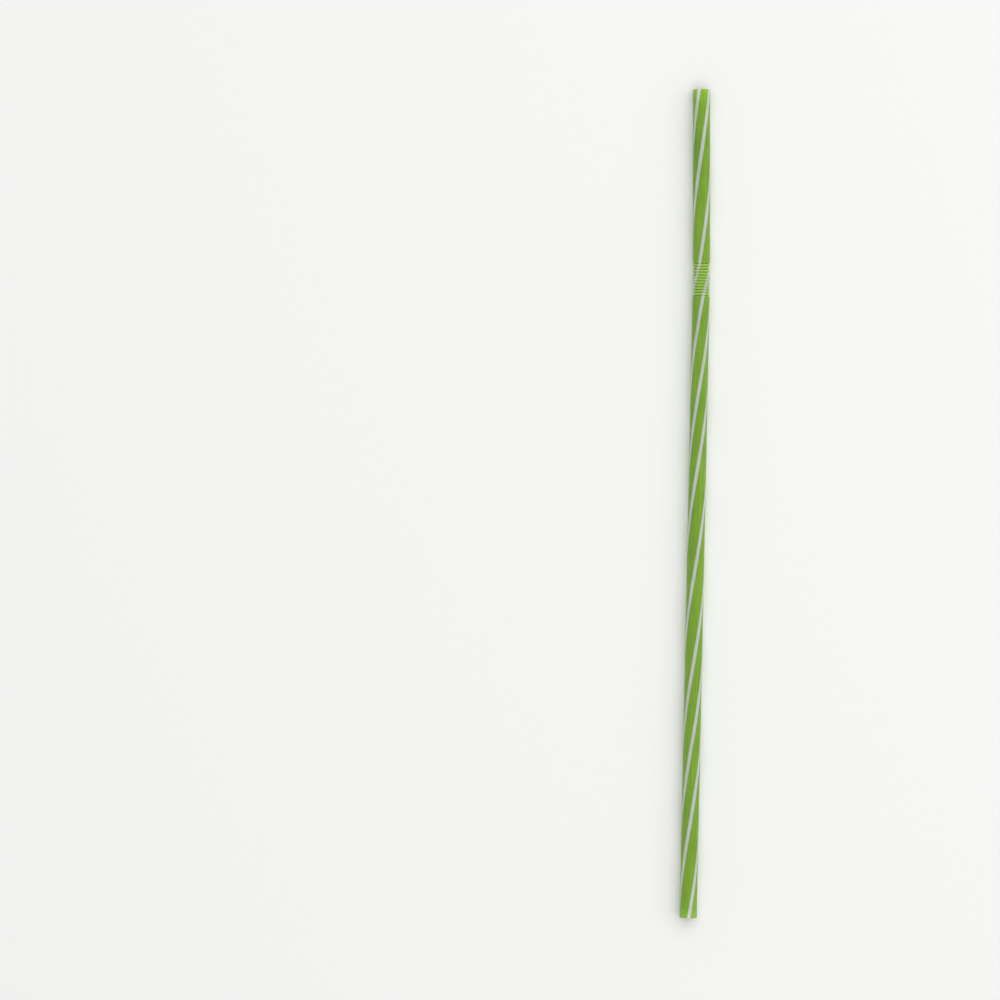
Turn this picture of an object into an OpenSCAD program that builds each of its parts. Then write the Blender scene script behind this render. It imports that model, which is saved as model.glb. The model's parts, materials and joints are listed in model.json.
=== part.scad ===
// Flexible drinking straw: one length of thin extruded tube with a pleated
// flexible section, pushed together, near its mouth end. It lies on a level
// surface at Z = 0 with its mouth end towards +Y. The long arm runs along Y, and
// the short one is turned a little to the left by a bend in the flexible section.

/* [Tube] */
// Length of the whole straw along its axis
straw_l = 240; // [180:1:300]
// Length of the plain tube between the pleats and the mouth end
short_l = 50; // [30:0.5:70]
// Outside diameter of the plain tube
tube_d = 5; // [4:0.25:8]
// Thickness of the plastic wall
wall = 0.15; // [0.12:0.01:0.18]

/* [Flexible section] */
// Number of pleats, counted as the rings seen from outside
pleats = 11; // [6:1:16]
// Distance from one ring to the next
pleat_pitch = 0.84; // [0.78:0.01:1.2]
// Depth of the valleys between the rings, below the outside of the tube
pleat_depth = 0.5; // [0.45:0.01:0.7]
// Angle by which each ring leans over and tucks in the short flank under it
tuck = 16; // [0:1:24]
// Radius of the folds at rings and valleys, at the middle of the wall
fold_r = 0.1; // [0.095:0.005:0.12]
// Angle between the long and the short arm, seen from above
bend = 1.2; // [0:0.1:6]

/* [Hidden] */
// Flat steps in each fold's arc
fold_steps = 6;
// Plain tube at each end of the pleats that turns with them
collar_l = 0.5;
// Half of the bend is at each end of the flexible section, as a mitred joint
joint_turn = bend / 2;
// Length by which each tube runs past its mitre before it is cut
mitre_spare = collar_l / 2;

tube_r = tube_d / 2;
bore_r = tube_r - wall;
mid_r = (tube_r + bore_r) / 2;
rings = round(pleats);
flexible_l = (rings + 1) * pleat_pitch + 2 * collar_l;
short_arm_l = short_l - collar_l;
long_arm_l = straw_l - flexible_l - short_arm_l;

// Each ring has a long flank that rises to it from the valley before it, and a
// short one that drops from it, tucked under it. Runs are distances along the
// straw between the centres of two folds, and angles are to the straw's axis.
rise = pleat_depth - 2 * fold_r;
falling = -90 - tuck;
short_run = (2 * fold_r - rise * sin(tuck)) / cos(tuck);
long_run = pleat_pitch - short_run;
rising = atan2(rise, long_run) + asin(2 * fold_r / norm([rise, long_run]));

// Folds are numbered from the long arm, even ones outwards. The first and the
// last fold lead from and to the plain tube, and the others between are rings.
last_fold = 2 * (rings + 1);
function is_outward(i) = i % 2 == 0;
// Centre of a fold as [radius, distance along the flexible section]
function fold_centre(i) =
    is_outward(i)
        ? [mid_r - fold_r, collar_l + i / 2 * pleat_pitch]
        : [mid_r - pleat_depth + fold_r, collar_l + (i - 1) / 2 * pleat_pitch + short_run];
// One fold of one face of the wall. Both faces share the fold's centre, so the
// wall keeps its thickness. side is 1 for the outside and -1 for the bore.
function fold(i, side) =
    let (
        r = (is_outward(i) ? fold_r : -fold_r) + side * wall / 2,
        from = i == 0 ? 0 : is_outward(i) ? rising : falling,
        to = i == last_fold ? 0 : is_outward(i) ? falling : rising
    )
    [for (k = [0 : fold_steps])
        let (a = from + (to - from) * k / fold_steps)
        fold_centre(i) + r * [cos(a), -sin(a)]];
// One face of the pleated wall, with spare tube for the mitres at both ends
function pleated_face(side) =
    let (r = mid_r + side * wall / 2)
    concat(
        [[r, -mitre_spare]],
        [for (i = [0 : last_fold]) each fold(i, side)],
        [[r, flexible_l + mitre_spare]]
    );
function backwards(points) = [for (i = [len(points) - 1 : -1 : 0]) points[i]];

// A wall turned about the Y axis, from its section as [radius, distance along Y]
module turned_wall(section) {
    rotate([-90, 0, 0])
        rotate_extrude($fn = 96)
            polygon(section);
}
// All that lies past a joint's mitre plane, for a tube that arrives along Y and
// leaves it turned by joint_turn to the left
module past_mitre() {
    rotate([0, 0, joint_turn / 2])
        translate([-tube_d, 0, -tube_d])
            cube([2 * tube_d, 2 * tube_d, 2 * tube_d]);
}
// A plain tube from a joint at the origin to a square cut end at length l
module arm(l) {
    difference() {
        turned_wall([
            [bore_r, -mitre_spare],
            [tube_r, -mitre_spare],
            [tube_r, l],
            [bore_r, l]
        ]);
        mirror([0, 1, 0]) past_mitre();
    }
}
module flexible_section() {
    difference() {
        turned_wall(concat(pleated_face(1), backwards(pleated_face(-1))));
        mirror([0, 1, 0]) past_mitre();
        translate([0, flexible_l, 0]) past_mitre();
    }
}

// Outermost edges, measured from the joint at the end of the long arm. The
// straw is centred on the origin by them.
left_x = -flexible_l * sin(joint_turn) - short_arm_l * sin(bend) - tube_r * cos(bend);
far_y = flexible_l * cos(joint_turn) + short_arm_l * cos(bend) + tube_r * sin(bend);

module straw() {
    color("yellowgreen")
        translate([-(left_x + tube_r) / 2, (long_arm_l - far_y) / 2, tube_r]) {
            mirror([0, 1, 0]) arm(long_arm_l);
            rotate([0, 0, joint_turn]) {
                flexible_section();
                translate([0, flexible_l, 0])
                    rotate([0, 0, joint_turn])
                        arm(short_arm_l);
            }
        }
}

straw();
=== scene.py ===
import json

import bpy
import numpy as np
from mathutils import Matrix, Vector


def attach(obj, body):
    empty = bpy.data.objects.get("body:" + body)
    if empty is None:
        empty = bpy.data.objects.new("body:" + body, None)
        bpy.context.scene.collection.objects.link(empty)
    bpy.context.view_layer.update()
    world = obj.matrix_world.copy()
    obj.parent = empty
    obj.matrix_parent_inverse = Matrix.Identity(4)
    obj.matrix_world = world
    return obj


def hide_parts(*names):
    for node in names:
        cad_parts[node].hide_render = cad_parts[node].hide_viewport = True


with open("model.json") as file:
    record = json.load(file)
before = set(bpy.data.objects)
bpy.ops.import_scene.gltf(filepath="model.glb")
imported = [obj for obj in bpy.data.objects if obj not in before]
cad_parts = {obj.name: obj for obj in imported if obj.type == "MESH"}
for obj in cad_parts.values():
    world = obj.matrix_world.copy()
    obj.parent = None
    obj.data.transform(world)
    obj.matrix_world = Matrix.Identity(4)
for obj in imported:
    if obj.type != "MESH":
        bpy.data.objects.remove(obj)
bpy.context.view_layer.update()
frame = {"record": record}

# The straw
# One length of thin polypropylene tube, extruded in lime green with four white
# stripes run into its outside, and cut square at both ends. Pleats were rolled into
# it near the mouth end and pushed together, and it lies bent a little there.
mount = {m["name"]: m for m in frame["record"]["mounts"]}
foot = np.array(mount["long_bore"]["pos_m"])
mouth = np.array(mount["short_bore"]["pos_m"])
mouth_way = np.array(mount["short_bore"]["axis"])
bend = np.arctan2(-mouth_way[0], mouth_way[1])
long_l = mount["long_bore"]["dims"]["length_mm"] / 1000
short_l = mount["short_bore"]["dims"]["length_mm"] / 1000
tube_r = mount["long_outside"]["dims"]["r_mm"] / 1000
bore_r = mount["long_bore"]["dims"]["r_mm"] / 1000
wall = tube_r - bore_r
mid_r = (tube_r + bore_r) / 2

# The rings stand as high as the plain tube, with a valley on each side of each
rings = 11
pleat_pitch = 0.84e-3
pleat_depth = 0.5e-3
tuck = np.radians(16)
fold_r = 0.1e-3
collar_l = 0.5e-3
flexible_l = (rings + 1) * pleat_pitch + 2 * collar_l
straw_l = long_l + flexible_l + short_l

# The stripes wind one way all along the tube, a turn in each lead. Their angles are
# those at the foot end, from the top of the straw towards +X. How far they turn over
# the pleats shows how much plain tube the pleats were rolled from.
stripe_at = np.radians([-179, -99, 1, 99])
stripe_lead = 102.7e-3
stripe_w = 0.98e-3
tube_in_pleats = 21.4e-3


def pleat_folds(steps=8, valley_and_end_share=0.6):
    """Middle of the pleated wall as [radius, distance along], and the way out of it.
    Folds turn out and in by turns, each an arc about its own centre, from the
    slope of the flank before it to that of the flank after it. The long flank
    rises to a ring, and the short one drops from it, tucked under it. The last
    array is how much paler each point is painted: most of all on top of a ring,
    less at the bottom of a valley and where the plain tube begins, and not at all
    on a flank. It is partly the whitening of plastic stretched in folding and
    partly painted light: a painted highlight on the rings' tops and painted light
    that lifts the shade at the valleys' bottoms."""
    rise = pleat_depth - 2 * fold_r
    falling = -np.pi / 2 - tuck
    short_run = (2 * fold_r - rise * np.sin(tuck)) / np.cos(tuck)
    long_run = pleat_pitch - short_run
    rising = np.arctan2(rise, long_run) + np.arcsin(2 * fold_r / np.hypot(rise, long_run))
    i = np.arange(2 * (rings + 1) + 1)
    outward = i % 2 == 0
    is_ring = outward & (i > 0) & (i < i[-1])
    centre = np.stack([
        np.where(outward, mid_r - fold_r, mid_r - pleat_depth + fold_r),
        collar_l + i // 2 * pleat_pitch + np.where(outward, 0, short_run),
    ], axis=1)
    first = np.where(outward, rising, falling)
    last = np.where(outward, falling, rising)
    first[0] = last[-1] = 0
    a = np.linspace(first, last, steps + 1, axis=1)
    way_out = np.stack([np.cos(a), -np.sin(a)], axis=2)
    bow = np.where(outward, fold_r, -fold_r)[:, None, None]
    middle = centre[:, None, :] + bow * way_out
    # Painted highlight on the rings' tops and painted light at the valleys' bottoms, over some real
    # whitening of the folded plastic
    whitening_and_painted_light = np.where(is_ring, 1, valley_and_end_share)[:, None] * np.cos(a).clip(0)
    return middle.reshape(-1, 2), way_out.reshape(-1, 2), whitening_and_painted_light.ravel()


def plain_wall(start, end, spacing=2e-3, beside=0.04e-3):
    """Middle of a plain arm's wall from start to end, and the way out of it, in even
    steps, with one more row close to each end, so that smooth shading of the plain
    tube keeps clear of its cut edges and its pleats."""
    rows = np.linspace(start, end, int((end - start) / spacing) + 2)
    rows = np.sort(np.r_[rows, start + beside, end - beside])
    return np.stack([np.full_like(rows, mid_r), rows], axis=1), np.tile([1.0, 0.0], (len(rows), 1))


# Middle of the wall from foot to mouth, between the two slightly rounded cut ends.
# Tube run is how far along the plain tube each point of it was.
cut_rise = 0.03e-3
cut_steps = 6
folds, folds_out, folds_whitening_and_painted_light = pleat_folds()
folds += [0, long_l]
before, before_out = (a[:-1] for a in plain_wall(cut_rise, folds[0, 1]))
after, after_out = (a[1:] for a in plain_wall(folds[-1, 1], straw_l - cut_rise))
middle = np.r_[before, folds, after]
way_out = np.r_[before_out, folds_out, after_out]
whitening_and_painted_light = np.r_[np.zeros(len(before)), folds_whitening_and_painted_light, np.zeros(len(after))]
steps = np.hypot(*np.diff(middle, axis=0).T)
pleated = slice(len(before), len(before) + len(folds) - 1)
steps[pleated] *= tube_in_pleats / steps[pleated].sum()
tube_run = cut_rise + np.r_[0, steps.cumsum()]

# Closed outline of the wall: the outside from foot to mouth, the mouth's cut end as
# half an ellipse, the bore back again, and the foot's cut end. What is known at each
# point of the wall goes round it in the same way.
cut_turn = np.linspace(0, np.pi, cut_steps + 1)[1:-1]
cut_r = mid_r + wall / 2 * np.cos(cut_turn)
cut_out = cut_rise * np.sin(cut_turn)
outline = np.r_[
    middle + way_out * wall / 2,
    np.stack([cut_r, straw_l - cut_rise + cut_out], axis=1),
    (middle - way_out * wall / 2)[::-1],
    np.stack([cut_r[::-1], cut_rise - cut_out], axis=1),
]
on_cut = np.ones(len(cut_turn))
depth = np.r_[0 * whitening_and_painted_light, cut_turn / np.pi, 0 * whitening_and_painted_light + 1, cut_turn[::-1] / np.pi]
whitening_and_painted_light = np.r_[whitening_and_painted_light, 0 * on_cut, whitening_and_painted_light[::-1], 0 * on_cut]
tube_run = np.r_[tube_run, tube_run[-1] * on_cut, tube_run[::-1], tube_run[0] * on_cut]

# Columns of the grid run with the stripes, as many between each two of them
columns_a_gap = 24
gap = np.diff(np.r_[stripe_at, stripe_at[0] + 2 * np.pi])[:, None]
share = np.arange(columns_a_gap) / columns_a_gap
column_at = (stripe_at[:, None] + gap * share).ravel()
from_stripe = (gap * np.minimum(share, 1 - share)).ravel() * tube_r
turn = column_at + 2 * np.pi * tube_run[:, None] / stripe_lead


def along_the_bend(s):
    """Middle of the tube at each distance s from the foot end, and the way to its
    right: straight up to the flexible section, round an arc through it, whose
    turn is the bend, and straight on."""
    turned = np.clip((s - long_l) / flexible_l, 0, 1) * bend
    arc_r = flexible_l / bend
    past = np.maximum(s - long_l - flexible_l, 0)
    x = foot[0] - arc_r * (1 - np.cos(turned)) - past * np.sin(turned)
    y = foot[1] + np.minimum(s, long_l) + arc_r * np.sin(turned) + past * np.cos(turned)
    return (
        np.stack([x, y, np.full_like(x, foot[2])], axis=-1),
        np.stack([np.cos(turned), np.sin(turned), np.zeros_like(x)], axis=-1),
    )


def closed_quads(rows, columns):
    """Row and column of each quad's corners, on a grid that closes on itself both
    ways, in the order that turns its faces outwards."""
    i, j = np.meshgrid(np.arange(rows), np.arange(columns), indexing="ij")
    return (
        np.stack([i, i, i + 1, i + 1], axis=-1).reshape(-1, 4),
        np.stack([j, j + 1, j + 1, j], axis=-1).reshape(-1, 4),
    )


def laid_out(row, column, rows, columns, bands=5, outside_share=0.86, edge_u=0.002, edge_v=0.02):
    """Places of the quads' corners on a square map for baking. The wall is cut across
    into bands of as many rows each. U runs along the straw in each band and V
    round it, with a little left free at their edges. The bore's bands, which come
    last, are narrower."""
    in_bore = row.min(axis=1, keepdims=True) >= rows // 2
    row = row - in_bore * (rows // 2)
    band_rows = int(np.ceil((rows + 1) / 2 / bands))
    band = row.min(axis=1, keepdims=True) // band_rows
    u = (row - band * band_rows) / band_rows
    v = band + edge_v + (1 - 2 * edge_v) * column / columns
    tall = np.where(in_bore, 1 - outside_share, outside_share) / bands
    return np.stack([edge_u + (1 - 2 * edge_u) * u, in_bore * outside_share + tall * v], axis=-1)


def in_scene(name, data):
    """New object in the scene, of this name and with this mesh, lamp or camera."""
    item = bpy.data.objects.new(name, data)
    bpy.context.scene.collection.objects.link(item)
    return item


tube_middle, right = along_the_bend(outline[:, 1])
up = np.array([0.0, 0.0, 1.0])
spoke = np.sin(turn)[..., None] * right[:, None] + np.cos(turn)[..., None] * up
points = tube_middle[:, None] + outline[:, :1, None] * spoke
rows, columns = turn.shape
row, column = closed_quads(rows, columns)

straw_mesh = bpy.data.meshes.new("straw")
straw_mesh.from_pydata(points.reshape(-1, 3), [], row % rows * columns + column % columns)
straw_mesh.shade_smooth()
for name, values in {
    "from_stripe": np.broadcast_to(from_stripe, turn.shape),
    "depth_in_wall": np.broadcast_to(depth[:, None], turn.shape),
    "fold_whitening_and_painted_light": np.broadcast_to(whitening_and_painted_light[:, None], turn.shape),
}.items():
    straw_mesh.attributes.new(name, "FLOAT", "POINT").data.foreach_set("value", values.ravel())
bake_map = straw_mesh.uv_layers.new(name="OFBake")
bake_map.uv.foreach_set("vector", laid_out(row, column, rows, columns).ravel())
straw = in_scene("striped_straw", straw_mesh)


def bare_tree(owner):
    """Node tree of a material or a world, emptied."""
    owner.use_nodes = True
    owner.node_tree.nodes.clear()
    return owner.node_tree


def add_node(tree, kind, inputs=None, **settings):
    """Adds a node with these settings. Each input takes a value or an output."""
    node = tree.nodes.new(kind)
    for name, value in settings.items():
        setattr(node, name, value)
    for socket, value in (inputs or {}).items():
        if isinstance(value, bpy.types.NodeSocket):
            tree.links.new(value, node.inputs[socket])
        else:
            node.inputs[socket].default_value = value
    return node


def srgb(*levels):
    """Linear colour of an sRGB one written in levels from 0 to 255."""
    c = np.array(levels) / 255
    linear = np.where(c <= 0.04045, c / 12.92, ((c + 0.055) / 1.055) ** 2.4)
    return (*linear, 1.0)


# The plastic lets some light through, and its outside has faint lines from the die.
# The white runs part of the way through the wall, so it shows weakly in the bore.
# The folds are paler, partly from the stretched plastic whitening and partly as a
# painted highlight on the rings and painted light in the valleys. The next helpers
# all add to the tree at hand.
plastic = bpy.data.materials.new("striped_polypropylene")
tree = bare_tree(plastic)


def noise(vector, scale, detail=2):
    """Level of a noise at this scale, about 0.5 in the middle."""
    return add_node(
        tree, "ShaderNodeTexNoise", {"Vector": vector, "Scale": scale, "Detail": detail}
    ).outputs["Fac"]


def level(value, low, high, at_low=0.0, at_high=1.0, **settings):
    """A value's share of the way from low to high, as a level between two others."""
    return add_node(
        tree, "ShaderNodeMapRange",
        {"Value": value, "From Min": low, "From Max": high, "To Min": at_low, "To Max": at_high},
        **settings,
    ).outputs["Result"]


def blend(share, a, b):
    """Colour between a and b. A Mix node's inputs 6 and 7 and its output 2 are colours."""
    return add_node(tree, "ShaderNodeMix", {0: share, 6: a, 7: b}, data_type="RGBA").outputs[2]


def on_wall(name):
    """A value that the mesh holds for each of its points."""
    return add_node(tree, "ShaderNodeAttribute", attribute_name=name).outputs["Fac"]


def maths(operation, a, b):
    """Result of one sum, named as in Blender."""
    return add_node(tree, "ShaderNodeMath", {0: a, 1: b}, operation=operation).outputs["Value"]


# Noises: the marks of extrusion are drawn out along the straw, and clouds are not
drawn_out_y = 0.03
die_lines_a_metre = 1800
wanders_a_metre = 700
clouds_a_metre = 140
place = add_node(tree, "ShaderNodeTexCoord").outputs["Object"]
drawn_out = add_node(
    tree, "ShaderNodeMapping", {"Vector": place, "Scale": (1, drawn_out_y, 1)}
).outputs["Vector"]
die_lines = noise(drawn_out, die_lines_a_metre, 3)
cloudy = level(noise(place, clouds_a_metre), 0.3, 0.7)

# Green and white both vary a little, in clouds. The die's lines are paler, and so are
# the folds, partly whitened plastic and partly a painted highlight and painted light.
greens = srgb(104, 153, 6), srgb(119, 168, 18)
die_line_green = srgb(140, 184, 48)
# Pale green of the folds: partly whitened plastic, partly a painted highlight on the rings and
# painted light in the valleys
whitened_and_painted_light_green = srgb(178, 228, 106)
whites = srgb(200, 212, 200), srgb(214, 226, 213)
green = blend(cloudy, *greens)
green = blend(level(die_lines, 0.35, 0.7, 0, 0.6), green, die_line_green)
# Paints the folds paler: whitening of the plastic plus a painted highlight on the rings and painted
# light at the valleys' bottoms
green = blend(level(on_wall("fold_whitening_and_painted_light"), 0.45, 1), green, whitened_and_painted_light_green)
white = blend(cloudy, *whites)

# A stripe's edges wander a little to each side, and its colour ends over a short blur
edge_wander = 0.04e-3
edge_blur = 0.05e-3
in_the_bore = 0.35
wander = level(noise(drawn_out, wanders_a_metre), 0.2, 0.8, -edge_wander, edge_wander)
striped = level(
    maths("ADD", on_wall("from_stripe"), wander),
    stripe_w / 2 - edge_blur, stripe_w / 2 + edge_blur, 1, 0,
    interpolation_type="SMOOTHSTEP",
)
shown = level(on_wall("depth_in_wall"), 0.2, 0.8, 1, in_the_bore)
colour = blend(maths("MULTIPLY", striped, shown), green, white)

bump = add_node(
    tree, "ShaderNodeBump", {"Height": die_lines, "Strength": 0.3, "Distance": 0.01e-3}
)
shader = add_node(
    tree, "ShaderNodeBsdfPrincipled",
    {
        "Base Color": colour,
        "Roughness": level(die_lines, 0.3, 0.7, 0.38, 0.5),
        "IOR": 1.49,
        "Subsurface Weight": 0.8,
        "Subsurface Radius": (1.0, 1.0, 1.0),
        "Subsurface Scale": 1.2e-3,
        "Normal": bump.outputs["Normal"],
    },
)
add_node(tree, "ShaderNodeOutputMaterial", {"Surface": shader.outputs["BSDF"]})
straw_mesh.materials.append(plastic)

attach(straw, "root")
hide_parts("straw")

# The floor
# A plain pale sheet, matt and level, that the straw lies on. Away from the straw it
# is seen to fade into the white that is past it, so that its edge never shows.
floor_half = 3.0
fade_from = 0.4
white_by = 1.5
pale_paper = srgb(244, 244, 243)
full_white = srgb(255, 255, 255)
corners = floor_half * np.array([(-1, -1, 0), (1, -1, 0), (1, 1, 0), (-1, 1, 0)])
floor_mesh = bpy.data.meshes.new("floor")
floor_mesh.from_pydata(corners, [], [(0, 1, 2, 3)])
floor = in_scene("floor", floor_mesh)

paper = bpy.data.materials.new("pale_floor")
tree = bare_tree(paper)


def shows_background():
    """1 for a ray that shows the background, straight to the camera, in a gloss or
    through a clear thing, and 0 for one that only brings light."""
    path = add_node(tree, "ShaderNodeLightPath").outputs
    not_straight = maths("MAXIMUM", path["Is Glossy Ray"], path["Is Transmission Ray"])
    return maths("MAXIMUM", path["Is Camera Ray"], not_straight)


pale = add_node(tree, "ShaderNodeBsdfPrincipled", {"Base Color": pale_paper, "Roughness": 0.8})
past_it = add_node(tree, "ShaderNodeEmission", {"Color": full_white, "Strength": 1.0})
place = add_node(tree, "ShaderNodeTexCoord").outputs["Object"]
away = add_node(
    tree, "ShaderNodeVectorMath", {"Vector": place}, operation="LENGTH"
).outputs["Value"]
fade = level(away, fade_from, white_by, interpolation_type="SMOOTHSTEP")
faded = maths("MULTIPLY", shows_background(), fade)
surface = add_node(
    tree, "ShaderNodeMixShader", {0: faded, 1: pale.outputs["BSDF"], 2: past_it.outputs["Emission"]}
)
add_node(tree, "ShaderNodeOutputMaterial", {"Surface": surface.outputs["Shader"]})
floor_mesh.materials.append(paper)

# The light
# Soft light from all round, and one large lamp above and to the right. The background
# past the floor is white, and a gloss shows that white and not the lamp.
all_round = 0.5
world = bpy.data.worlds.new("soft_light")
bpy.context.scene.world = world
tree = bare_tree(world)
strength = level(shows_background(), 0, 1, all_round, 1)
sky = add_node(tree, "ShaderNodeBackground", {"Color": full_white, "Strength": strength})
add_node(tree, "ShaderNodeOutputWorld", {"Surface": sky.outputs["Background"]})

lamp_at = Vector((0.45, 0.25, 1.25))
lamp_data = bpy.data.lights.new("softbox", "AREA")
lamp_data.size = 3.0
lamp_data.energy = 26.0
lamp = in_scene("softbox", lamp_data)
lamp.location = lamp_at
lamp.rotation_euler = (-lamp_at).to_track_quat("-Z", "Y").to_euler()
lamp.visible_glossy = False

# The camera
# It looks straight down, with the mouth end's arm upright in the picture, and the
# mouth end as far from the picture's middle as in the photograph.
picture_px = 1000
mouth_at_px = np.array([701.5, 89.7])
px_per_m = 3450
camera_height = 1.2
picture_up = mouth_way / np.linalg.norm(mouth_way)
picture_right = np.cross(picture_up, up)
off_middle = (mouth_at_px - picture_px / 2) / px_per_m
aim = mouth - off_middle[0] * picture_right + off_middle[1] * picture_up
camera_data = bpy.data.cameras.new("camera")
camera_data.lens = camera_data.sensor_width * camera_height / (picture_px / px_per_m)
camera = in_scene("camera", camera_data)
turned_to = Matrix((picture_right, picture_up, up)).transposed().to_4x4()
camera.matrix_world = Matrix.Translation(Vector(aim + camera_height * up)) @ turned_to
bpy.context.scene.camera = camera
bpy.context.scene.view_settings.view_transform = "Standard"
